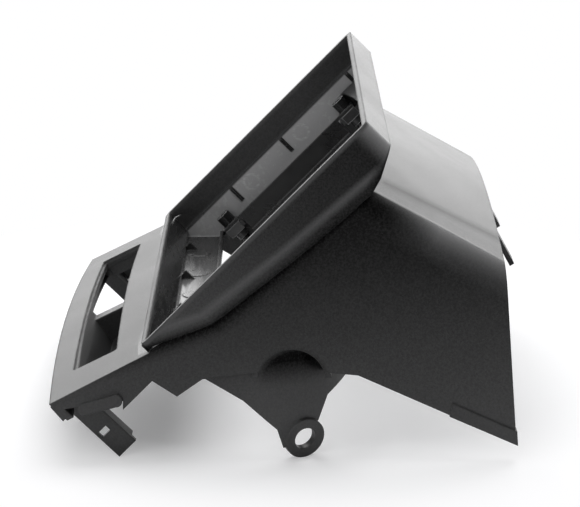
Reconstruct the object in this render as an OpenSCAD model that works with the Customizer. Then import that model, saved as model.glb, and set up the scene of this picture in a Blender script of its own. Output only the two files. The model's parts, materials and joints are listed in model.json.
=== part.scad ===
// Dashboard radio mounting frame for a double height car radio, one plastic moulding with its clips.
// It stands on the bench as photographed: X across, Y to the rear, Z up, all sizes in mm.

/* [Screen bezel] */
// outer width of the bezel
bezel_w = 200; // [160:1:260]
// outer height of the bezel, along the tilted screen
bezel_h = 112; // [90:1:150]
// tilt of the screen above the bench, in degrees
screen_tilt = 45.4; // [35:0.2:55]
// depth of the bezel's top strip
bezel_deep = 12; // [9:0.5:16]
// wall of the rim round the opening
rim_wall = 2.2; // [1.6:0.1:3.2]
// depth of the first part of the recess
recess_deep = 11.4; // [8:0.2:14]
// step inwards at the foot of the first part
recess_step = 2; // [1.2:0.1:3]
// depth at which the smooth side walls end
smooth_deep = 22.4; // [19:0.2:26]
// radius of the bezel's outer corners
bezel_corner = 3.5; // [1:0.5:5]

/* [Hood] */
// slope of the hood's top, in degrees
hood_tilt = 28.9; // [20:0.1:36]
// step down from the bezel's top edge to the middle of the hood
hood_step = 9.9; // [7:0.1:14]
// how far the crowned top of the hood falls from its middle to its sides
hood_sink = 10.1; // [6:0.1:13]
// distance from the bezel's lower edge to the hood's rear, along the bench
hood_reach = 130.1; // [115:0.5:150]
// lean of the rear edge, in degrees
rear_lean = 4.4; // [0:0.2:8]
// slope of the hood's lower edge, in degrees
skirt_tilt = 24.4; // [16:0.4:32]
// radius of the hood's upper corners
hood_round = 9; // [6:0.5:12]
// wall of the hood and of the side plates
wall = 2.2; // [1.8:0.1:3]
// width of the rib along the lower rear edge
lip_tall = 5; // [3:0.5:8]
// how far that rib stands out of the side
lip_out = 0.7; // [0.4:0.1:1.2]
// reach of the two tongues behind the hood's rear edge
tongue_reach = 9.6; // [7:0.2:12]

/* [Lower panel] */
// width of the panel at its front edge
panel_w = 207; // [180:1:270]
// length of the panel from the bezel to its front edge
panel_long = 38.7; // [30:0.5:48]
// slope of the panel, in degrees
panel_tilt = 26.6; // [18:0.5:34]
// radius of the panel's crown
panel_crown = 1400; // [1000:50:2400]
// thickness of the panel
panel_thick = 2.1; // [1.8:0.1:3]
// width of the lower window
window_w = 158; // [120:1:190]
// length of the lower window, along the panel
window_long = 17.6; // [12:0.5:24]
// strip between the bezel and the lower window
window_gap = 11.6; // [8:0.2:16]
// depth of the pocket under the right half of the window
pocket_deep = 14; // [10:0.5:18]
// depth of the front edge's return wall
return_deep = 8.7; // [6:0.3:12]

/* [Shelf] */
// height of the shelf under the recess, below the bezel's lower edge
shelf_drop = 8.6; // [6:0.2:11]
// length of the shelf
shelf_long = 16.2; // [12:0.2:20]
// thickness of the shelf
shelf_thick = 2.2; // [1.8:0.1:3]
// height of the triangular ribs on the shelf
rib_tall = 3.8; // [2:0.2:5]

/* [Arms] */
// distance of the eyelets behind the bezel's lower edge
eye_back = 57.3; // [50:0.5:66]
// height of the eyelets' centre below the bezel's lower edge
eye_drop = 36.2; // [32:0.2:42]
// outer radius of the eyelets
eye_r = 7.6; // [6.6:0.1:9]
// radius of the eyelets' bore
eye_bore_r = 4.1; // [3:0.1:5]
// thickness of the eyelets
eye_thick = 3; // [2.4:0.1:4]
// how far the eyelets turn towards the rear, in degrees
eye_turn = 27; // [15:1:35]

/* [Front catches] */
// width of the catches
catch_w = 8.5; // [7:0.5:11]
// thickness of the catches
catch_thick = 2.4; // [1.8:0.1:3]

/* [Radio brackets] */
// distance of the lower screws from the bezel's lower edge, along the screen
screw_low = 18.5; // [16:0.5:22]
// radius of the screw heads
head_r = 3.2; // [2.8:0.1:3.4]
// height of the screw heads
head_tall = 4.8; // [3.6:0.1:5]
// thickness of the bracket's sheet
sheet = 1.4; // [1:0.1:1.8]
// depth of the bracket's web
web_deep = 9.4; // [7:0.2:14]
// thickness of the spring nuts' leaves
leaf = 0.7; // [0.5:0.1:1]

/* [Hidden] */
$fn = 64;
ct = cos(screen_tilt);
sn = sin(screen_tilt);
half = bezel_w / 2;
// a length that is longer than the part in every direction
big = 2 * hood_reach;
// hood's outer and inner half widths
side_x = half - recess_step - rim_wall + wall;
in_x = side_x - wall;
// radius of the hood's crown, and the centres of its corner rounds
crown_r = (side_x * side_x + hood_sink * hood_sink) / (2 * hood_sink);
round_x = side_x - hood_round;
round_z = sqrt((crown_r - hood_round) * (crown_r - hood_round) - round_x * round_x) - crown_r + 0.15;
shoulder = -round_z / cos(hood_tilt);
// the front edge's half width and the big round that flares the side plates out to it
flare_end = 75;
flare_x = panel_w / 2;
flare_from = -34;
flare_run = flare_end - flare_from;
flare_r = (flare_run * flare_run) / (2 * (flare_x - side_x)) + (flare_x - side_x) / 2;
// the hood's top line passes through this point at the back of the bezel
top_p = [(bezel_h - hood_step) * ct + bezel_deep * sn, (bezel_h - hood_step) * sn - bezel_deep * ct];
th = tan(hood_tilt);
rl = tan(rear_lean);
// where the top line meets the rear edge: Z = top_p.z - (Y - top_p.y) * th, Y = hood_reach - Z * rl
rear_z = (top_p[1] - (hood_reach - top_p[0]) * th) / (1 - rl * th);
rear_y = hood_reach - rear_z * rl;
// the hood's lower edge
skirt_y = 76.5;
skirt_z = -11.5;
ts = tan(skirt_tilt);
foot_z = (skirt_z - (hood_reach - skirt_y) * ts) / (1 - rl * ts);
foot_y = hood_reach - foot_z * rl;
// the lowest point of the eyelets rests on the bench
eye_lean = 11;
low_z = -eye_drop - eye_r * cos(eye_lean) - eye_thick / 2 * sin(eye_lean);
// panel points at the middle and at the sides
pc = cos(panel_tilt);
ps = sin(panel_tilt);
sag = panel_crown - sqrt(panel_crown * panel_crown - flare_x * flare_x);
front_y = -0.5 - panel_long * pc;
front_z = -0.3 - panel_long * ps;
front_t = front_y * ct + front_z * sn;
catch_t = front_t - 0.2;
catch_end = (-low_z + catch_t * sn) / ct;
catch_x = side_x - 9.4;
catch_c = catch_x * catch_x / (2 * panel_crown) + panel_thick / 2;
base_n = 20.6;
screw_x = in_x - head_r - 1;
// the upper screws sit just inside the hood's corner rounds
screw_high = bezel_h - hood_step - hood_sink - 0.45 * hood_round;
screw_gap = screw_high - screw_low;
pad_n = base_n + sheet + leaf;
pad_thick = 2.6;
nut_half = head_r + 0.4;
arm_x = side_x - wall + 0.9;
arm_y = 41.8;
arm_r = (eye_back - arm_y) / sin(eye_turn);
arm_thick = 2.2;
arch_y = 53;
arch_z = -14;
arch_r = 12;
eye_x = arm_x - arm_r * (1 - cos(eye_turn)) - eye_thick / 2 * cos(eye_turn);
tip_y = rear_y + tongue_reach;
mid_y = (front_y - 0.2 + tip_y) / 2;

// a point given along the screen and into its depth
function st(t, n) = [t * ct + n * sn, t * sn - n * ct];

// a point given along the panel and below its crown line
function pp(s, c) = [-0.5 - s * pc + c * ps, -0.3 - s * ps - c * pc];

// an outline in Y and Z, drawn out across X
module across(w) {
  rotate([90, 0, 90])
    translate([0, 0, -w / 2])
      linear_extrude(height = w)
        children();
}

// the same, from one X to another
module between(a, b) {
  rotate([90, 0, 90])
    translate([0, 0, a])
      linear_extrude(height = b - a)
        children();
}

// the screen's own frame: X across, Y up the screen, minus Z into the depth
module on_screen() {
  rotate([screen_tilt, 0, 0])
    children();
}

// the panel's own frame: Y towards the bezel from the front, Z out of the face
module on_panel() {
  translate([0, -0.5, -0.3])
    rotate([panel_tilt, 0, 0])
      children();
}

module both() {
  children();
  mirror([1, 0, 0])
    children();
}

// a plain rectangle with round corners, from circles and squares
module round_rect(w, h, r) {
  square([w - 2 * r, h], center = true);
  square([w, h - 2 * r], center = true);
  for (i = [-1, 1])
    for (j = [-1, 1])
      translate([i * (w / 2 - r), j * (h / 2 - r)])
        circle(r);
}

// everything between the two flared side faces, drawn in by a distance
module flare_space(inset) {
  difference() {
    translate([-flare_x - half, -big / 3, -big / 3])
      cube([2 * (flare_x + half), big, big]);
    both()
      translate([side_x - inset, flare_end - 5, -big / 2])
        cube([flare_x, big, 2 * big]);
    both()
      intersection() {
        translate([side_x + flare_r - inset - 0.15, flare_end, -big / 2])
          cylinder(r = flare_r, h = 2 * big, $fn = 240);
        translate([side_x - inset, -big / 2, -big / 2])
          cube([flare_x, big / 2 + flare_end, 2 * big]);
      }
  }
}

// the hood's section across its length, drawn in by a distance
module hood_bar(inset) {
  translate([0, top_p[0], top_p[1]])
    rotate([-hood_tilt, 0, 0])
      rotate([90, 0, 0])
        translate([0, 0, -big / 2])
          linear_extrude(height = big) {
            translate([-side_x + inset, -big / 2])
              square([2 * (side_x - inset), big / 2 + round_z]);
            intersection() {
              translate([0, -crown_r])
                circle(crown_r - inset, $fn = 480);
              translate([-round_x - 2, -big / 2])
                square([2 * round_x + 4, big]);
            }
            for (i = [-1, 1])
              translate([i * round_x, round_z])
                circle(hood_round - inset);
          }
}

// outer block of the bezel with its bevel towards the hood
module bezel_block() {
  intersection() {
    across(bezel_w + 4)
      polygon([
        st(0, 0), st(bezel_h, 0), st(bezel_h, bezel_deep),
        st(bezel_h - 10.6, bezel_deep + 5.7), st(bezel_h - 16.8, bezel_deep + 7.5),
        st(bezel_h - 22, bezel_deep + 7.1), st(bezel_h - 31.5, bezel_deep + 6.7),
        st(bezel_h * 0.516, bezel_deep + 4.7), st(bezel_h * 0.246, bezel_deep + 1.1),
        st(bezel_h * 0.18, bezel_deep - 0.9), st(6.6, 4.6), st(0, 2.2)
      ]);
    on_screen()
      translate([0, bezel_h / 2, -40])
        linear_extrude(height = 41)
          round_rect(bezel_w, bezel_h, bezel_corner);
    on_screen()
      rotate([-2.8, 0, 0])
        translate([0, bezel_h + 20, 0])
          rotate([90, 0, 0])
            linear_extrude(height = bezel_h + 50)
              polygon([
                [-half, 16], [-half, -8.2], [-half + 1.6, -18.2], [-half + 1.6, -50],
                [half - 1.6, -50], [half - 1.6, -18.2], [half, -8.2], [half, 16]
              ]);
  }
}

// bottom wall of the recess, full depth
module bezel_sill() {
  across(2 * (half - 1))
    polygon([
      st(0, 0.4), st(rim_wall, 0.4), st(rim_wall, recess_deep),
      [st(rim_wall, recess_deep)[0], -shelf_drop - 1], [7.2, -shelf_drop - 1], st(0, 10)
    ]);
}

// outline of the side plates
module side_outline() {
  sd = sag + 1.1;
  rz = rear_z - shoulder - 3;
  polygon([
    pp(panel_long - 1.2, sd), pp(-0.4, sd), st(1.5, 3.4), st(6.6, 4.6),
    st(bezel_h * 0.18, bezel_deep - 1.1), st(bezel_h * 0.246, bezel_deep + 0.6),
    st(screw_high - 8, bezel_deep + 0.6), [hood_reach - rz * rl, rz],
    [foot_y, foot_z], [skirt_y, skirt_z],
    [66, -10.5], [40, -10.5], [21.5, -12.5],
    [12.6, -18.7], [3.9, -12.8], [-6.5, -23.2],
    [-6.4, -20], [-8.5, -18.8], [-11.5, -19], [-16, -20.3], [-21.3, -21.6], [-27.2, -22.4],
    [front_y + 9.2, front_z - 7.6], [front_y + 7.6, front_z - 9.2]
  ]);
}

module side_plates() {
  intersection() {
    across(2 * flare_x + 10)
      side_outline();
    difference() {
      flare_space(0);
      flare_space(wall - 0.1);
    }
  }
}

// top of the hood with its round corners
module hood_top() {
  rz = rear_z - shoulder - 8;
  intersection() {
    across(2 * side_x + 10)
      polygon([
        st(screw_high - 12, 10), st(bezel_h - 5, 10), st(bezel_h, 16), [rear_y, rear_z + 30],
        [rear_y, rear_z], [hood_reach - rz * rl, rz]
      ]);
    difference() {
      hood_bar(0);
      hood_bar(wall - 0.2);
    }
  }
}

// smooth inner walls at the two sides of the radio bay
module liners() {
  both()
    intersection() {
      between(in_x, side_x + 0.4)
        polygon([
          st(0.8, recess_deep - 1.4), st(bezel_h - 4.6, recess_deep - 1.4),
          st(bezel_h - 4.6, recess_deep + 0.5), st(bezel_h - 11.8, recess_deep + 4.6),
          st(bezel_h - 13.4, smooth_deep), st(8.8, smooth_deep), [9.5, -shelf_drop - 1]
        ]);
      union() {
        hood_bar(0.5);
        across(2 * side_x + 4)
          polygon([st(-5, 5), st(bezel_h, 5), st(bezel_h, recess_deep + 4), st(-5, recess_deep + 4)]);
      }
    }
}

// the clear space behind the bezel's rim
module bay_space() {
  intersection() {
    across(2 * in_x + 0.6)
      polygon([
        st(rim_wall - 0.6, recess_deep - 0.1), st(bezel_h - 4.2, recess_deep - 0.1),
        st(bezel_h - 4.2, recess_deep + 0.35), st(bezel_h - 11.6, recess_deep + 4.4),
        st(bezel_h - 11, 60), st(-10, 60), st(-10, 20)
      ]);
    union() {
      hood_bar(wall - 0.2);
      across(2 * side_x + 4)
        polygon([st(-20, 5), st(bezel_h, 5), st(bezel_h, recess_deep + 4.4), st(-20, recess_deep + 4.4)]);
    }
  }
}

// the panel's crowned solid, drawn in by a distance
module crown(inset) {
  on_panel()
    translate([0, 12, -panel_crown])
      rotate([90, 0, 0])
        cylinder(r = panel_crown - inset, h = panel_long + 30, $fn = 360);
}

// an outline in the panel's plane, drawn through it
module through_panel(a, b) {
  on_panel()
    translate([0, -window_gap - window_long / 2, a])
      linear_extrude(height = b - a)
        children();
}

// lower panel, its window and the stepped lip round the window
module lower_panel() {
  difference() {
    intersection() {
      across(2 * flare_x + 10)
        polygon([
          st(front_t, -20), pp(0, -1), st(1.2, -0.4), st(1.2, 9), pp(-6, 10), pp(20, 12), st(front_t, 6)
        ]);
      flare_space(0);
      difference() {
        crown(0);
        crown(panel_thick);
      }
    }
    through_panel(-20, 10)
      round_rect(window_w, window_long, 1);
  }
  intersection() {
    difference() {
      crown(1.1);
      crown(panel_thick + 0.8);
    }
    through_panel(-20, 10)
      difference() {
        round_rect(window_w + 5, window_long + 5, 2);
        round_rect(window_w - 1.4, window_long - 1.4, 0.8);
      }
  }
}

// return wall along the panel's front edge
module front_return() {
  intersection() {
    across(2 * flare_x + 10)
      polygon([
        st(front_t, -20), st(front_t + 2.4, -20),
        st(front_t + 2.4, return_deep), st(front_t, return_deep)
      ]);
    flare_space(0);
    difference() {
      crown(0.6);
      crown(return_deep * 0.95);
    }
  }
}

// pocket under the right half of the window
module pocket() {
  wf = pp(window_gap + window_long, -0.6);
  wr = pp(window_gap, -0.6);
  k = pocket_deep / 2 + 1.9;
  kx = wf[0] + k * sn;
  kz = wf[1] - k * ct;
  ex = kx + k * 0.55;
  ez = kz - k * 0.835;
  rx = wr[0] + pocket_deep * sn;
  rz = wr[1] - pocket_deep * ct;
  // front wall with its bend
  intersection() {
    between(0, window_w / 2 + 2)
      polygon([
        wf, [kx, kz], [ex, ez], [ex - 1.8, ez - 1.2], [kx - 1.5, kz - 1.5], [wf[0] - 1.5, wf[1] - 1.5]
      ]);
    crown(0.9);
  }
  // rear wall
  intersection() {
    between(0, window_w / 2 + 2)
      polygon([wr, [wr[0] + 1.5, wr[1] + 1.5], [rx + 1.5, rz + 1.5], [rx, rz]]);
    crown(0.9);
  }
  // floor
  between(0, window_w / 2 + 2)
    polygon([
      [ex - 1.8, ez - 1.2], [ex - 0.3, ez - 1.9], [rx + 2.2, rz + 0.1],
      [rx + 1.5, rz + 1.5], [rx - 0.2, rz + 1.2], [ex - 1.3, ez + 0.2]
    ]);
  // end wall
  intersection() {
    between(window_w / 2 + 0.2, window_w / 2 + 2)
      polygon([wf, wr, [rx, rz], [ex, ez], [kx, kz]]);
    crown(0.9);
  }
  // partition, a channel open below
  difference() {
    between(0, 7)
      polygon([
        pp(window_gap + window_long - 1.2, 4.7), pp(window_gap - 1, 4.7), [rx + 0.4, rz], [ex - 0.6, ez], [kx - 0.6, kz]
      ]);
    between(1.8, 5.2)
      polygon([
        pp(window_gap + window_long - 4, 6.5), pp(window_gap + 2, 6.5), [rx - 2, rz - 8], [ex + 2, ez - 8]
      ]);
  }
  // short end wall at the open half
  intersection() {
    between(-window_w / 2 - 2, -window_w / 2 - 0.2)
      polygon([pp(window_gap + window_long + 1, 0), pp(window_gap - 1, 0), pp(window_gap - 1, 10), pp(window_gap + window_long - 1, 10)]);
    crown(0.9);
  }
}

// catches that hold the panel's lower edge, one each side
module catches() {
  a = catch_t;
  b = catch_t + catch_w;
  both() {
    difference() {
      between(catch_x, catch_x + catch_thick)
        polygon([
          pp(panel_long - 2, catch_c), pp(window_gap, catch_c), st(b + catch_w, 6.5),
          st(b, 6.5), st(b, catch_end), st(a, catch_end), st(a, -5)
        ]);
      between(catch_x - 8, catch_x + 12)
        polygon([
          st(a + 1, catch_end - 11.6), st(a + 5, catch_end - 11.6),
          st(a + 5, catch_end - 9.2), st(a + 1, catch_end - 9.2)
        ]);
    }
    between(catch_x - 4.6, catch_x + catch_thick / 2)
      polygon([st(b - 1.6, -4), st(b, -4), st(b, catch_end - 2), st(b - 1.6, catch_end - 2)]);
    between(catch_x + catch_thick / 2, flare_x - 0.9)
      translate(st(b - 1.2, 1.6))
        rotate(15.6) {
          translate([0, -2.2])
            square([11.6, 4.4]);
          circle(2.3);
          translate([11.6, 0])
            circle(2.3);
        }
  }
}

// arms with their eyelets
module arms() {
  both()
    difference() {
      union() {
        intersection() {
          union() {
            translate([arm_x - arm_thick, 12, -60])
              cube([arm_thick, arm_y - 12, 90]);
            intersection() {
              translate([arm_x - arm_r, arm_y, -60])
                difference() {
                  cylinder(r = arm_r, h = 90, $fn = 120);
                  translate([0, 0, -1])
                    cylinder(r = arm_r - arm_thick, h = 92, $fn = 120);
                }
              translate([arm_x - arm_r, arm_y - 0.2, -60])
                cube([arm_r + 5, 60, 90]);
            }
          }
          between(20, 120)
            union() {
                polygon([
                  [22.5, -9], [22.1, -12.9], [35.8, -21.2], [eye_back - 9.4, 4 - eye_drop],
                  [eye_back - 7.2, -3 - eye_drop], [eye_back, -eye_drop], [eye_back + 5.4, 5.6 - eye_drop],
                  [66, -22], [76, -15], [76, -9.8], [64, -8], [41, -4.5], [30, -4.5]
                ]);
                translate([arch_y, arch_z])
                  circle(arch_r + 1.2);
            }
        }
        translate([eye_x, eye_back, -eye_drop])
          rotate([0, 0, eye_turn])
            rotate([0, 90 + eye_lean, 0])
              cylinder(r = eye_r, h = eye_thick, center = true);
        between(83, side_x - 0.3)
          intersection() {
            translate([arch_y, arch_z])
              difference() {
                circle(arch_r + wall);
                circle(arch_r);
              }
            translate([arch_y - 30, arch_z + 1.5])
              square([60, 30]);
          }
      }
      translate([eye_x, eye_back, -eye_drop])
        rotate([0, 0, eye_turn])
          rotate([0, 90 + eye_lean, 0])
            cylinder(r = eye_bore_r, h = 24, center = true);
    }
}

// shelf under the recess, its ribs and round marks
module shelf() {
  z = -shelf_drop;
  e = 8.6 + shelf_long;
  across(2 * (side_x - 0.6))
    polygon([
      [7.4, z], [e - 1.4, z], [e - 1.4, z + 2.6], [e, z + 2.6], [e, z - shelf_thick], [7.4, z - shelf_thick]
    ]);
  for (x = [-72, -25, 25, 72])
    between(x - 0.9, x + 0.9)
      polygon([[7.8, z - 0.4], [11.1, z + rib_tall], [15.2, z - 0.4]]);
  for (x = [-66, -33, 0, 33, 66])
    translate([x, 15.4, z - 0.5])
      cylinder(r = 4.6, h = 0.8);
}

// pads for the bracket screws
module pads() {
  both()
    difference() {
      intersection() {
        hood_bar(0.5);
        on_screen()
          for (t = [screw_low, screw_high])
            translate([screw_x - 3.4, t - nut_half - 1.5, -pad_n - pad_thick])
              cube([9, 2 * nut_half + 3, pad_thick]);
      }
      on_screen()
        for (t = [screw_low, screw_high])
          translate([screw_x, t, -pad_n - pad_thick - 5])
            cylinder(r = 2.6, h = pad_thick + 10);
    }
}

// short ribs on the smooth side walls
module wall_ribs() {
  both()
    for (t = [28.2, 58.6, bezel_h - 13.7])
      between(in_x - 0.9, in_x + 0.4)
        polygon([st(t - 0.6, recess_deep - 0.2), st(t + 0.6, recess_deep - 0.2), st(t + 0.6, 18), st(t - 0.6, 18)]);
}

// tongues under the hood's rear edge
module tongues() {
  for (x = [-30, 30])
    between(x - 6, x + 6)
      polygon([
        [rear_y - 7.4, rear_z + 1.8], [rear_y - 4.6, rear_z + 0.4],
        [tip_y, rear_z - 25.1], [tip_y - 1.6, rear_z - 26.1]
      ]);
}

// rib along the hood's lower rear edge
module skirt_lips() {
  both()
    between(side_x - wall - 1.8, side_x + lip_out)
      polygon([
        [foot_y + 0.5, foot_z - 0.4], [foot_y - 24, foot_z + 24 * ts - 0.4],
        [foot_y - 23, foot_z + 23 * ts + lip_tall],
        [hood_reach + 0.5 - (foot_z + lip_tall) * rl, foot_z + lip_tall]
      ]);
}

module fascia_solid() {
  difference() {
    union() {
      bezel_block();
      hood_top();
      difference() {
        side_plates();
        both()
          between(60, 120)
            translate([arch_y, arch_z])
              circle(arch_r);
      }
    }
    bay_space();
    on_screen()
      translate([0, bezel_h / 2, -recess_deep])
        linear_extrude(height = 30)
          round_rect(bezel_w - 2 * rim_wall, bezel_h - 2 * rim_wall, 1);
  }
  bezel_sill();
  liners();
  wall_ribs();
  lower_panel();
  front_return();
  pocket();
  catches();
  arms();
  shelf();
  pads();
  tongues();
  skirt_lips();
}

module bracket_solid() {
  from = screw_low + nut_half + 2;
  run = screw_gap - 2 * nut_half - 4;
  difference() {
    on_screen() {
      for (t = [screw_low, screw_high])
        translate([screw_x - 3.6, t - nut_half, -base_n - sheet])
          cube([5.6, 2 * nut_half, sheet]);
      translate([screw_x - 3.6, screw_low, -base_n - sheet])
        cube([sheet, screw_gap, sheet]);
      translate([screw_x - 3.6, from, -base_n - web_deep])
        cube([sheet, run, web_deep]);
      translate([screw_x - 5.4, from, -base_n - web_deep])
        cube([1.8 + sheet / 2, run, sheet]);
    }
    on_screen()
      for (t = [screw_low, screw_high])
        translate([screw_x, t, -base_n - 8])
          cylinder(r = 2.3, h = 16);
  }
}

// socket head screw, its axis along the depth of the screen
module screw(x, t) {
  on_screen()
    translate([x, t, -base_n]) {
      difference() {
        union() {
          cylinder(r = head_r, h = head_tall);
          translate([0, 0, -11])
            cylinder(r = 1.95, h = 11.5);
        }
        translate([0, 0, head_tall - 2.6])
          cylinder(r = head_r * 0.56, h = 4);
      }
    }
}

// spring nut that clips over a pad
module spring_nut(x, t) {
  s = x > 0 ? 1 : -1;
  a = base_n + sheet;
  on_screen()
    difference() {
      union() {
        translate([min(x - s * 3.9, x + s * 2.1), t - nut_half, -a - leaf])
          cube([6, 2 * nut_half, leaf]);
        translate([min(x - s * 3.9, x + s * 2.1), t - nut_half, -pad_n - pad_thick - leaf])
          cube([6, 2 * nut_half, leaf]);
        translate([min(x - s * 3.9, x - s * 3.5), t - nut_half, -pad_n - pad_thick - leaf])
          cube([0.4, 2 * nut_half, pad_thick + 2 * leaf]);
        translate([x, t, -pad_n - pad_thick - leaf - 3])
          cylinder(r = 2.7, h = 3.2);
      }
      translate([x, t, -pad_n - pad_thick - 8])
        cylinder(r = 2.05, h = 20);
    }
}

module placed() {
  translate([0, -mid_y, -low_z])
    children();
}

module fascia_frame() {
  color([0.1, 0.1, 0.105])
    placed()
      fascia_solid();
}

module bracket_left() {
  color([0.2, 0.2, 0.21])
    placed()
      mirror([1, 0, 0])
        bracket_solid();
}

module bracket_right() {
  color([0.2, 0.2, 0.21])
    placed()
      bracket_solid();
}

module screw_low_left() {
  color([0.07, 0.07, 0.07])
    placed()
      screw(-screw_x, screw_low);
}

module screw_high_left() {
  color([0.07, 0.07, 0.07])
    placed()
      screw(-screw_x, screw_high);
}

module screw_low_right() {
  color([0.07, 0.07, 0.07])
    placed()
      screw(screw_x, screw_low);
}

module screw_high_right() {
  color([0.07, 0.07, 0.07])
    placed()
      screw(screw_x, screw_high);
}

module nut_low_left() {
  color([0.45, 0.45, 0.46])
    placed()
      spring_nut(-screw_x, screw_low);
}

module nut_high_left() {
  color([0.45, 0.45, 0.46])
    placed()
      spring_nut(-screw_x, screw_high);
}

module nut_low_right() {
  color([0.45, 0.45, 0.46])
    placed()
      spring_nut(screw_x, screw_low);
}

module nut_high_right() {
  color([0.45, 0.45, 0.46])
    placed()
      spring_nut(screw_x, screw_high);
}

fascia_frame();
bracket_left();
bracket_right();
screw_low_left();
screw_high_left();
screw_low_right();
screw_high_right();
nut_low_left();
nut_high_left();
nut_low_right();
nut_high_right();
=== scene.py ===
"""Looks of a dashboard radio mounting frame: plastic, sheet brackets, screws and spring nuts."""

import json
import math

import bpy
from mathutils import Matrix, Vector


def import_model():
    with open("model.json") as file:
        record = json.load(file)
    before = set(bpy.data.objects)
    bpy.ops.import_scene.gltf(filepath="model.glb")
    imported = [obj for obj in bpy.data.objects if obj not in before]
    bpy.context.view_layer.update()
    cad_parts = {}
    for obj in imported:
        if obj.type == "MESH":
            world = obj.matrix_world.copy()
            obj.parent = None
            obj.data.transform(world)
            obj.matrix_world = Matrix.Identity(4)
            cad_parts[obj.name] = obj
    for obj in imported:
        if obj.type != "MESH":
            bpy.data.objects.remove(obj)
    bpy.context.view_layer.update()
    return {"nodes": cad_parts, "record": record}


MM = 0.001
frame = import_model()

# The photo's camera: its place, its tilt and its lens, in the row frame.
CAMERA_AT = Vector((923.7, -1.74, 285.65)) * MM
CAMERA_DOWN = math.radians(14.19)
CAMERA_TURN = math.radians(0.24)
LENS = 151.82
SENSOR = 36.0

# The screen's foot and its own directions, for finishes that change with depth behind it.
SCREEN_TILT = math.radians(45.4)
SCREEN_FOOT = Vector((0.0, -50.722, 43.947)) * MM
UP_SCREEN = Vector((0.0, math.cos(SCREEN_TILT), math.sin(SCREEN_TILT)))
INTO_SCREEN = Vector((0.0, math.sin(SCREEN_TILT), -math.cos(SCREEN_TILT)))


def grey(value):
    """A very slightly cool grey."""
    return (value, value, value * 1.01, 1.0)


WHITE = (1.0, 1.0, 1.0, 1.0)

# The moulding's zones. Lengths are in millimetres. A pair holds where a zone's mask is 0 and
# where it is 1. Depth runs into the screen and upward runs up it, both from the screen's foot.

# A face belongs to the sides where its place across times its normal across passes this.
SIDEWAYS = 0.3 * 95.0
# A face belongs to the shelf where its normal up the screen passes this.
FACES_UP = 0.6
# The sides are painted lighter between these heights, from painted shade at the top to painted
# light at the foot.
SIDE_SHADE_FADE = (86.0, 12.0)

# The recess behind the rim: its smooth side walls and the lit part of its shelf, both painted
# reflections, and its lower wall.
RECESS_SIDE = (97.2, 96.6)
RECESS_STEP = (10.6, 11.2)
RECESS_END = (24.6, 24.0)
SIDE_WALL_AT = 94.6
LOWER_WALL_STEP = (1.0, 1.8)
LOWER_WALL_FOOT = -4.0
LOWER_WALL_TOP = 13.0
SHELF_LIGHT = (-70.0, 50.0)
SHELF_LIGHT_SHARE = 0.75

# Ribs on the recess's side walls, and the faint round mark above each.
RIB_LEVELS = (28.8, 58.9, 98.4)
RIB_HALF = (1.1, 0.7)
RIB_END = (18.8, 18.2)
MARK_ABOVE_RIB = 8.2
MARK_DEPTH = 15.2
MARK_RADIUS = 3.2
MARK_LINE = (0.8, 0.2)

# The bezel's lower outline on its sides, as straight stretches: upward, depth there, slope.
OUTLINE = ((6.6, 4.6, 0.478), (27.6, 13.1, 0.119), (57.8, 16.7, 0.075), (95.2, 19.5, -0.446))
# Painted light and shade on the bezel: lighter at its foot, highlights on the roll and crest, shade
# in the groove, light on the rim.
BEZEL_END = (0.4, -0.6)
BEZEL_SHADE_FADE = (10.0, 105.0)
ROLL_START = (-7.4, -5.3)
ROLL_END = (-2.6, -5.0)
GROOVE_START = (-3.4, 0.4)
GROOVE_END = (7.0, 0.8)
CREST_HIGHLIGHT = (103.5, 112.0)
RIM_HALF = 97.5
RIM_END = (1.9, 0.7)
RIM_FOOT = 1.0

# The hood: painted light under its soft corner, and a painted soft dark line that moves inward to
# the rear.
HOOD_FALL = 0.504
HOOD_LEVEL = 113.0
CORNER_LIGHT_LEVEL = (97.0, 112.0)
CORNER_LIGHT_START = (2.0, 30.0)
HOOD_LINE_RUN = (28.0, 78.0)
HOOD_LINE_FRONT = 79.0
HOOD_LINE_REAR = 72.5
HOOD_LINE_HALF = (6.0, 0.0)
HOOD_LINE_START = (1.0, 6.0)

# The hollow above each arm, placed by its middle: painted shade under its upper rim, painted light
# below.
ARM_BACK = 3.0
ARM_HEIGHT = 29.0
HOLLOW_EDGE = (14.0, 11.0)
HOLLOW_TOP = (-2.0, 8.0)
ARM_FOOT_EDGE = (34.0, 12.0)
ARM_FOOT_LEVEL = (10.0, -16.0)
ARM_FOOT_SHARE = 0.5

# The grey of each zone; all but plain, shelf, mark and rib are painted light, shade or reflection.
TONES = {
    "plain": grey(0.026),
    "side_top_shade": grey(0.0015),
    "side_foot_light": grey(0.04),
    "arm_foot_light": grey(0.09),
    "hollow_shade": grey(0.002),
    # The corner's grey is a painted highlight on the sides under the hood's soft corner.
    "corner": grey(0.2),
    "bezel_foot_light": grey(0.05),
    "bezel_top_shade": grey(0.008),
    "roll_highlight": grey(0.08),
    "groove_shade": grey(0.004),
    "crest_highlight": grey(0.3),
    "hood_shade_line": grey(0.012),
    "rim": grey(0.08),
    "shelf": grey(0.02),
    "lit_shelf": grey(0.45),
    "wall": grey(0.36),
    "mark": grey(0.5),
    "rib": grey(0.012),
}

# How far the noises move the moulding's tone and roughness, and what worn places add to them. The
# lighter worn edges are partly wear and partly a painted highlight.
CLOUD_TONE = 0.003
FLECK_TONE = 0.006
GRAIN_TONE = 0.005
WORN_AND_HIGHLIGHT_TONE = 0.022
OUTSIDE_ROUGH = (0.34, 0.42)
INSIDE_ROUGH = (0.17, 0.26)
GRAIN_ROUGH = 0.05
STREAK_ROUGH = (-0.04, 0.12)
WORN_ROUGH = 0.28

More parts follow.
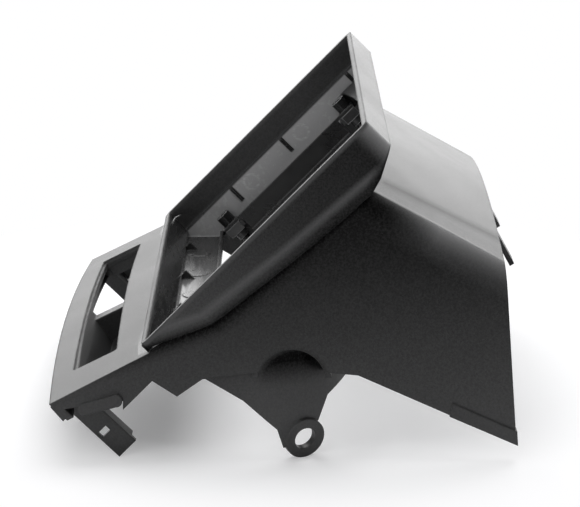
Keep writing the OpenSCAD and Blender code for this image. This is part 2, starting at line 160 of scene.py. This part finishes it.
# The grain's depth, its strength outside and on glossy faces, and the edges' soft radius.
GRAIN_DEPTH = 0.1 * MM
GRAIN_STRENGTH = (0.45, 0.05)
SOFT_RADIUS = 1.1 * MM

# The moulding's sheen, and how much of it a zone loses. The sides lose more towards their top.
SHEEN = 0.5
DULLED = {"groove_shade": 0.46, "rim": 0.34, "hollow_shade": 0.44, "hood_shade_line": 0.3}
SIDES_DULLED = (0.36, 0.02)

# How the CAD nodes are cleaned and rounded.
WELD_GAP = 0.002 * MM
FLAT_ANGLE = math.radians(0.3)
ROUNDED_ANGLE = math.radians(28)
FRAME_ROUNDING = 0.35 * MM
SMALL_ROUNDING = 0.12 * MM

# The floor, in metres: its half width, its tone and glow, and where it fades to plain white.
FLOOR_HALF = 4.0
FLOOR_GREY = 0.86
FLOOR_GLOW = 0.2
SHADOW_MIDDLE = Vector((-0.06, 0.0, 0.0))
SHADOW_FADE = (0.14, 0.23)

# The world's light, by its direction along X: it grows on the side away from the camera.
WORLD_SIDE = (-0.2, -0.85)
WORLD_STRENGTH = (0.14, 1.15)


class Nodes:
    """A small helper that adds and joins the shader nodes of one tree."""

    def __init__(self, tree):
        self.tree = tree
        self.tree.nodes.clear()

    def add(self, kind, inputs=None, **settings):
        node = self.tree.nodes.new("ShaderNode" + kind)
        for key, value in settings.items():
            setattr(node, key, value)
        for key, value in (inputs or {}).items():
            self.join(value, node.inputs[key])
        return node

    def join(self, value, socket):
        if isinstance(value, bpy.types.NodeSocket):
            self.tree.links.new(value, socket)
        elif isinstance(value, bpy.types.Node):
            self.tree.links.new(value.outputs[0], socket)
        else:
            socket.default_value = value

    def math(self, operation, first, *others):
        """One operation on two or more values, from the left."""
        for other in others:
            first = self.add("Math", {0: first, 1: other}, operation=operation).outputs[0]
        return first

    def plus(self, *values):
        return self.math("ADD", *values)

    def minus(self, a, b):
        return self.math("SUBTRACT", a, b)

    def times(self, *values):
        return self.math("MULTIPLY", *values)

    def most(self, *values):
        return self.math("MAXIMUM", *values)

    def least(self, *values):
        return self.math("MINIMUM", *values)

    def size(self, value):
        return self.add("Math", {0: value}, operation="ABSOLUTE").outputs[0]

    def square(self, value):
        return self.math("POWER", value, 2.0)

    def distance(self, a, b):
        """The length of the diagonal over two offsets."""
        return self.math("POWER", self.plus(self.square(a), self.square(b)), 0.5)

    def dot(self, a, b):
        return self.add("VectorMath", {0: a, 1: b}, operation="DOT_PRODUCT").outputs["Value"]

    def ramp(self, value, low, high, start=0.0, end=1.0):
        """Goes from start to end while the value goes from low to high, and stops there."""
        limits = {"From Min": low, "From Max": high, "To Min": start, "To Max": end}
        return self.add("MapRange", {"Value": value, **limits}).outputs["Result"]

    def zone(self, value, limits):
        """A mask from a length, with its limits in millimetres."""
        return self.ramp(value, limits[0] * MM, limits[1] * MM)

    def past(self, value, limit):
        return self.math("GREATER_THAN", value, limit * MM)

    def short_of(self, value, limit):
        return self.math("LESS_THAN", value, limit * MM)

    def mix(self, factor, a, b, kind="RGBA", blend="MIX"):
        inputs = {"Factor": factor, "A": a, "B": b}
        return self.add("Mix", inputs, data_type=kind, blend_type=blend).outputs["Result"]

    def noise(self, vector, scale, detail, rough):
        inputs = {"Vector": vector, "Scale": scale, "Detail": detail, "Roughness": rough}
        return self.add("TexNoise", inputs).outputs["Fac"]

    def stretch(self, vector, scale):
        return self.add("Mapping", {"Vector": vector, "Scale": scale})

    def edges(self, radius, low, high):
        """A normal rounded at the edges, and a mask that is 1 on edges and 0 on flat faces."""
        soft = self.add("Bevel", {"Radius": radius}, samples=6).outputs[0]
        flat = self.add("NewGeometry").outputs["Normal"]
        return soft, self.ramp(self.dot(soft, flat), high, low)


class Place:
    """Where a point of the moulding lies and which way its face looks, as node outputs."""

    def __init__(self, n):
        self.point = n.add("TexCoord").outputs["Object"]
        from_foot = n.add("VectorMath", {0: self.point, 1: SCREEN_FOOT}, operation="SUBTRACT")
        self.depth = n.dot(from_foot, INTO_SCREEN)
        self.upward = n.dot(from_foot, UP_SCREEN)
        self.across, self.back, self.height = n.add("SeparateXYZ", {0: self.point}).outputs
        self.aside = n.size(self.across)
        normal = n.add("NewGeometry").outputs["Normal"]
        self.faces_up = n.math("GREATER_THAN", n.dot(normal, UP_SCREEN), FACES_UP)
        turned = n.times(self.across, n.add("SeparateXYZ", {0: normal}).outputs["X"])
        self.inward = n.short_of(turned, -SIDEWAYS)
        self.outward = n.past(turned, SIDEWAYS)


def new_material(name):
    material = bpy.data.materials.new(name)
    material.use_nodes = True
    return material, Nodes(material.node_tree)


def recess_masks(n, at):
    """The smooth side walls, all glossy faces, and the shelf's painted pale reflection."""
    past_step = n.zone(at.depth, RECESS_STEP)
    recess = n.times(n.zone(at.aside, RECESS_SIDE), n.zone(at.depth, RECESS_END))
    wall = n.times(n.past(at.aside, SIDE_WALL_AT), at.inward)
    walls = n.times(recess, wall, past_step)
    low = n.times(n.short_of(at.upward, LOWER_WALL_TOP), n.past(at.upward, LOWER_WALL_FOOT))
    lower = n.times(recess, low, n.zone(at.depth, LOWER_WALL_STEP))
    lit = n.times(n.zone(at.across, SHELF_LIGHT), SHELF_LIGHT_SHARE, at.faces_up, past_step)
    return {"walls": walls, "gloss": n.most(walls, lower), "lit_shelf": lit}


def bezel_masks(n, at):
    """The bezel's sides, painted highlights on the lower roll and crest, painted shade in the
    groove, painted light on the rim.
    """
    stretches = []
    for upward, depth, slope in OUTLINE:
        inputs = {0: at.upward, 1: slope, 2: (depth - upward * slope) * MM}
        stretches.append(n.add("Math", inputs, operation="MULTIPLY_ADD").outputs[0])
    straight = n.least(*stretches[:-1])
    past_straight = n.minus(at.depth, straight)
    past_bezel = n.minus(at.depth, n.least(straight, stretches[-1]))
    bezel = n.times(at.outward, n.zone(past_bezel, BEZEL_END))
    rim = n.times(n.past(at.aside, RIM_HALF), n.zone(at.depth, RIM_END))
    start, end = n.zone(past_straight, ROLL_START), n.zone(past_straight, ROLL_END)
    in_groove, out_of_groove = n.zone(past_bezel, GROOVE_START), n.zone(past_bezel, GROOVE_END)
    masks = {
        "bezel": bezel,
        "roll_highlight": n.times(at.outward, start, end),
        "groove_shade": n.times(at.outward, in_groove, out_of_groove),
        "crest_highlight": n.times(n.square(n.zone(at.upward, CREST_HIGHLIGHT)), bezel),
        "rim": n.times(rim, n.past(at.upward, RIM_FOOT)),
    }
    return masks, past_bezel


def hood_masks(n, at, past_bezel):
    """The painted light on the sides just under the hood's soft corner, and the painted dark line
    on its top.
    """
    level = n.plus(at.height, n.times(at.back, HOOD_FALL))
    corner = n.times(n.zone(level, CORNER_LIGHT_LEVEL), n.zone(past_bezel, CORNER_LIGHT_START))
    run = n.zone(at.back, HOOD_LINE_RUN)
    line_at = n.ramp(run, 0.0, 1.0, HOOD_LINE_FRONT * MM, HOOD_LINE_REAR * MM)
    line = n.zone(n.size(n.minus(at.aside, line_at)), HOOD_LINE_HALF)
    line = n.times(line, n.past(level, HOOD_LEVEL), n.zone(past_bezel, HOOD_LINE_START))
    return {"corner": n.times(n.square(corner), at.outward), "hood_shade_line": line}


def arm_masks(n, at):
    """The painted shade in the hollow above each arm, and the painted lighter plate round it and
    below.
    """
    above = n.minus(at.height, ARM_HEIGHT * MM)
    away = n.distance(n.minus(at.back, ARM_BACK * MM), above)
    foot = n.times(n.zone(away, ARM_FOOT_EDGE), n.zone(above, ARM_FOOT_LEVEL))
    hollow_shade = n.times(n.zone(away, HOLLOW_EDGE), n.zone(above, HOLLOW_TOP))
    return {
        "arm_foot_light": n.times(foot, ARM_FOOT_SHARE),
        "hollow_shade": n.times(hollow_shade, at.outward),
    }


def wall_tone(n, at, scuff):
    """Mid grey of the recess's side walls as a painted reflection, with dark ribs and a faint round
    mark above each.
    """
    tone = TONES["wall"]
    broken = n.ramp(scuff, 0.45, 0.62)
    for level in RIB_LEVELS:
        above_mark = n.minus(at.upward, (level + MARK_ABOVE_RIB) * MM)
        away = n.distance(above_mark, n.minus(at.depth, MARK_DEPTH * MM))
        ring = n.zone(n.size(n.minus(away, MARK_RADIUS * MM)), MARK_LINE)
        tone = n.mix(n.times(ring, broken), tone, TONES["mark"])
        rib = n.zone(n.size(n.minus(at.upward, level * MM)), RIB_HALF)
        tone = n.mix(n.times(rib, n.zone(at.depth, RIB_END)), tone, TONES["rib"])
    return tone


def outside_tone(n, at, masks, fade):
    """Grey of the outside, mostly painted light and shade: a fade down the sides first, then each
    zone over it.
    """
    tone = n.mix(fade, TONES["side_top_shade"], TONES["side_foot_light"])
    for zone in ("arm_foot_light", "hollow_shade", "corner"):
        tone = n.mix(masks[zone], tone, TONES[zone])
    tone = n.mix(at.outward, TONES["plain"], tone)
    bezel = n.mix(n.zone(at.upward, BEZEL_SHADE_FADE), TONES["bezel_foot_light"], TONES["bezel_top_shade"])
    tone = n.mix(masks["bezel"], tone, bezel)
    for zone in ("roll_highlight", "groove_shade", "crest_highlight", "hood_shade_line", "rim"):
        tone = n.mix(masks[zone], tone, TONES[zone])
    return tone


def moulding():
    """Black moulded plastic: a fine grain outside, smooth and glossy inside the recess, with light,
    shade and reflections painted into its grey.
    """
    material, n = new_material("moulding")
    at = Place(n)
    masks, past_bezel = bezel_masks(n, at)
    masks.update(recess_masks(n, at))
    masks.update(hood_masks(n, at, past_bezel))
    masks.update(arm_masks(n, at))
    gloss = masks["gloss"]
    # A mask down the sides, 0 at the top and 1 at the foot, for their painted shade and light and
    # their sheen.
    fade = n.zone(at.height, SIDE_SHADE_FADE)

    grain = n.noise(at.point, scale=2600.0, detail=2.0, rough=0.6)
    fleck = n.noise(at.point, scale=1150.0, detail=1.0, rough=0.5)
    cloud = n.noise(at.point, scale=26.0, detail=4.0, rough=0.6)
    streak = n.noise(n.stretch(at.point, (1.0, 9.0, 9.0)), scale=60.0, detail=3.0, rough=0.6)
    scuff = n.noise(n.stretch(at.point, (1.0, 1.0, 7.0)), scale=210.0, detail=5.0, rough=0.7)
    soft, corner = n.edges(SOFT_RADIUS, 0.9, 0.995)
    edge = n.times(corner, n.ramp(scuff, 0.3, 0.62))
    rubbed = n.times(n.ramp(scuff, 0.6, 0.8), n.ramp(cloud, 0.5, 0.7))

    # The shelf and the side walls get their painted reflections here.
    shelf = n.mix(masks["lit_shelf"], TONES["shelf"], TONES["lit_shelf"])
    tone = n.mix(gloss, outside_tone(n, at, masks, fade), shelf)
    tone = n.mix(masks["walls"], tone, wall_tone(n, at, scuff))
    # Random tone from the noises, with lighter edges and rubbed patches. The edges are partly wear
    # and partly a painted highlight.
    lift = n.plus(
        n.ramp(cloud, 0.3, 0.7, -CLOUD_TONE, CLOUD_TONE),
        n.ramp(fleck, 0.3, 0.7, -FLECK_TONE, FLECK_TONE),
        n.ramp(grain, 0.35, 0.65, -GRAIN_TONE, GRAIN_TONE),
        n.ramp(n.most(edge, rubbed), 0.0, 1.0, 0.0, WORN_AND_HIGHLIGHT_TONE),
    )
    lift = n.add("CombineColor", {"Red": lift, "Green": lift, "Blue": lift})
    colour = n.mix(1.0, tone, lift, blend="ADD")

    rough_outside = n.plus(
        n.ramp(cloud, 0.25, 0.75, *OUTSIDE_ROUGH),
        n.ramp(grain, 0.3, 0.7, -GRAIN_ROUGH, GRAIN_ROUGH),
        n.ramp(n.most(edge, masks["groove_shade"], masks["corner"]), 0.0, 1.0, 0.0, WORN_ROUGH),
    )
    rough_inside = n.plus(
        n.ramp(cloud, 0.25, 0.75, *INSIDE_ROUGH),
        n.ramp(streak, 0.35, 0.75, *STREAK_ROUGH),
    )
    rough = n.mix(gloss, rough_outside, rough_inside, kind="FLOAT")
    strength = n.ramp(gloss, 0.0, 1.0, *GRAIN_STRENGTH)
    bump = {"Height": grain, "Strength": strength, "Distance": GRAIN_DEPTH, "Normal": soft}
    dulled = [n.times(masks[zone], share) for zone, share in DULLED.items()]
    dulled.append(n.times(at.outward, n.ramp(fade, 0.0, 1.0, *SIDES_DULLED)))
    shader = n.add(
        "BsdfPrincipled",
        {
            "Base Color": colour,
            "Roughness": rough,
            "IOR": 1.5,
            "Specular IOR Level": n.minus(SHEEN, n.most(*dulled)),
            "Normal": n.add("Bump", bump),
        },
    )
    n.add("OutputMaterial", {"Surface": shader})
    return material


def metal(name, value, rough, metallic, wear_and_glint):
    """Painted or bare metal with fine drawing lines, small spots of wear and brighter edges, partly
    wear and partly a painted highlight.
    """
    material, n = new_material(name)
    place = n.add("TexCoord").outputs["Object"]
    lines = n.noise(n.stretch(place, (1.0, 0.12, 1.0)), scale=900.0, detail=3.0, rough=0.6)
    cloud = n.noise(place, scale=120.0, detail=4.0, rough=0.6)
    colour = n.mix(n.ramp(cloud, 0.35, 0.65), grey(value * 0.8), grey(value * 1.2))
    soft, corner = n.edges(0.5 * MM, 0.88, 0.985)
    edge = n.times(corner, n.ramp(cloud, 0.3, 0.5, 0.6, 1.0))
    roughness = n.plus(n.ramp(cloud, 0.3, 0.7, *rough), n.ramp(lines, 0.3, 0.7, -0.04, 0.04))
    bump = {"Height": lines, "Strength": 0.25, "Distance": 0.03 * MM, "Normal": soft}
    shader = n.add(
        "BsdfPrincipled",
        {
            "Base Color": n.mix(edge, colour, grey(wear_and_glint)),
            "Roughness": roughness,
            "Metallic": metallic,
            "Normal": n.add("Bump", bump),
        },
    )
    n.add("OutputMaterial", {"Surface": shader})
    return material


def dress(node, material, rounding):
    """Gives a CAD node its finish and small rounded edges."""
    piece = frame["nodes"][node]
    piece.data.materials.clear()
    piece.data.materials.append(material)
    weld = piece.modifiers.new("weld", "WELD")
    weld.merge_threshold = WELD_GAP
    flat = piece.modifiers.new("flat", "DECIMATE")
    flat.decimate_type = "DISSOLVE"
    flat.angle_limit = FLAT_ANGLE
    edge = piece.modifiers.new("edge", "BEVEL")
    edge.width = rounding
    edge.segments = 2
    edge.limit_method = "ANGLE"
    edge.angle_limit = ROUNDED_ANGLE
    edge.use_clamp_overlap = True
    edge.harden_normals = False
    for face in piece.data.polygons:
        face.use_smooth = True
    normals = piece.modifiers.new("normals", "WEIGHTED_NORMAL")
    normals.weight = 50
    normals.keep_sharp = True


def soft_lamp(name, at, aim, size, power):
    """A rectangular area lamp at a place, aimed at a point, with its power in watts."""
    lamp = bpy.data.lights.new(name, "AREA")
    lamp.shape = "RECTANGLE"
    lamp.size, lamp.size_y = size
    lamp.energy = power
    holder = bpy.data.objects.new(name, lamp)
    holder.location = at
    holder.rotation_euler = (Vector(aim) - Vector(at)).to_track_quat("-Z", "Y").to_euler()
    bpy.context.scene.collection.objects.link(holder)


def stage_floor():
    """A wide pale floor. The camera sees its shadow near the part and plain white farther out."""
    mesh = bpy.data.meshes.new("floor")
    r = FLOOR_HALF
    mesh.from_pydata([(-r, -r, 0), (r, -r, 0), (r, r, 0), (-r, r, 0)], [], [(0, 1, 2, 3)])
    floor = bpy.data.objects.new("floor", mesh)
    bpy.context.scene.collection.objects.link(floor)
    material, n = new_material("floor")
    place = n.add("TexCoord").outputs["Object"]
    pale = n.add("BsdfDiffuse", {"Color": grey(FLOOR_GREY)})
    cloud = n.noise(place, scale=9.0, detail=3.0, rough=0.55)
    speckled = n.mix(cloud, grey(FLOOR_GREY - 0.01), grey(FLOOR_GREY + 0.01))
    glow = n.add("Emission", {"Color": grey(1.0), "Strength": FLOOR_GLOW})
    shadowed = n.add("AddShader", {0: n.add("BsdfDiffuse", {"Color": speckled}), 1: glow})
    plain = n.add("Emission", {"Color": grey(1.0), "Strength": 1.0})
    offset = n.add("VectorMath", {0: place, 1: SHADOW_MIDDLE}, operation="SUBTRACT")
    away = n.add("VectorMath", {0: offset}, operation="LENGTH").outputs["Value"]
    seen = n.add("MixShader", {0: n.ramp(away, *SHADOW_FADE), 1: shadowed, 2: plain})
    by_camera = n.add("LightPath").outputs["Is Camera Ray"]
    n.add("OutputMaterial", {"Surface": n.add("MixShader", {0: by_camera, 1: pale, 2: seen})})
    mesh.materials.append(material)


def world():
    """Light that grows towards the side away from the camera, which itself sees plain white."""
    studio = bpy.data.worlds.new("studio")
    bpy.context.scene.world = studio
    studio.use_nodes = True
    n = Nodes(studio.node_tree)
    side = n.add("SeparateXYZ", {0: n.add("TexCoord").outputs["Generated"]}).outputs["X"]
    strength = n.ramp(side, *WORLD_SIDE, *WORLD_STRENGTH)
    light = n.add("Background", {"Color": WHITE, "Strength": strength})
    white = n.add("Background", {"Color": WHITE, "Strength": 1.0})
    by_camera = n.add("LightPath").outputs["Is Camera Ray"]
    n.add("OutputWorld", {"Surface": n.add("MixShader", {0: by_camera, 1: light, 2: white})})


def camera():
    """The photo's camera."""
    data = bpy.data.cameras.new("camera")
    data.sensor_width = SENSOR
    data.lens = LENS
    data.clip_start, data.clip_end = 0.05, 20.0
    holder = bpy.data.objects.new("camera", data)
    forward = Vector(
        (
            -math.cos(CAMERA_DOWN) * math.cos(CAMERA_TURN),
            math.cos(CAMERA_DOWN) * math.sin(CAMERA_TURN),
            -math.sin(CAMERA_DOWN),
        )
    )
    right = forward.cross(Vector((0, 0, 1))).normalized()
    up = right.cross(forward)
    turn = Matrix((right, up, -forward)).transposed().to_4x4()
    holder.matrix_world = Matrix.Translation(CAMERA_AT) @ turn
    bpy.context.scene.collection.objects.link(holder)
    bpy.context.scene.camera = holder


FINISHES = {
    "moulding": moulding(),
    # The edge grey of each metal is partly wear and partly a painted highlight.
    "bracket": metal("bracket", value=0.012, rough=(0.24, 0.38), metallic=0.0, wear_and_glint=0.14),
    "screw": metal("screw", value=0.012, rough=(0.1, 0.2), metallic=0.0, wear_and_glint=0.75),
    "spring_nut": metal("spring_nut", value=0.07, rough=(0.08, 0.2), metallic=0.4, wear_and_glint=0.35),
}
slots = {part["node"]: part["material_slot"] for part in frame["record"]["subparts"]}
for node in frame["nodes"]:
    dress(node, FINISHES[slots[node]], FRAME_ROUNDING if node == "fascia_frame" else SMALL_ROUNDING)

camera()
world()
stage_floor()
soft_lamp("back_left", at=(-1.4, -0.65, 0.55), aim=(0, 0, 0.12), size=(1.3, 1.0), power=5.0)
soft_lamp("back_right", at=(-1.4, 0.7, 0.55), aim=(0, 0, 0.12), size=(1.3, 1.0), power=7.0)
soft_lamp("top", at=(-0.35, 0.1, 1.5), aim=(0, 0, 0.0), size=(1.5, 1.5), power=16.0)
soft_lamp("front", at=(1.1, -0.7, 0.9), aim=(0, 0, 0.05), size=(1.3, 1.3), power=7.0)

view = bpy.context.scene.view_settings
view.view_transform = "Standard"
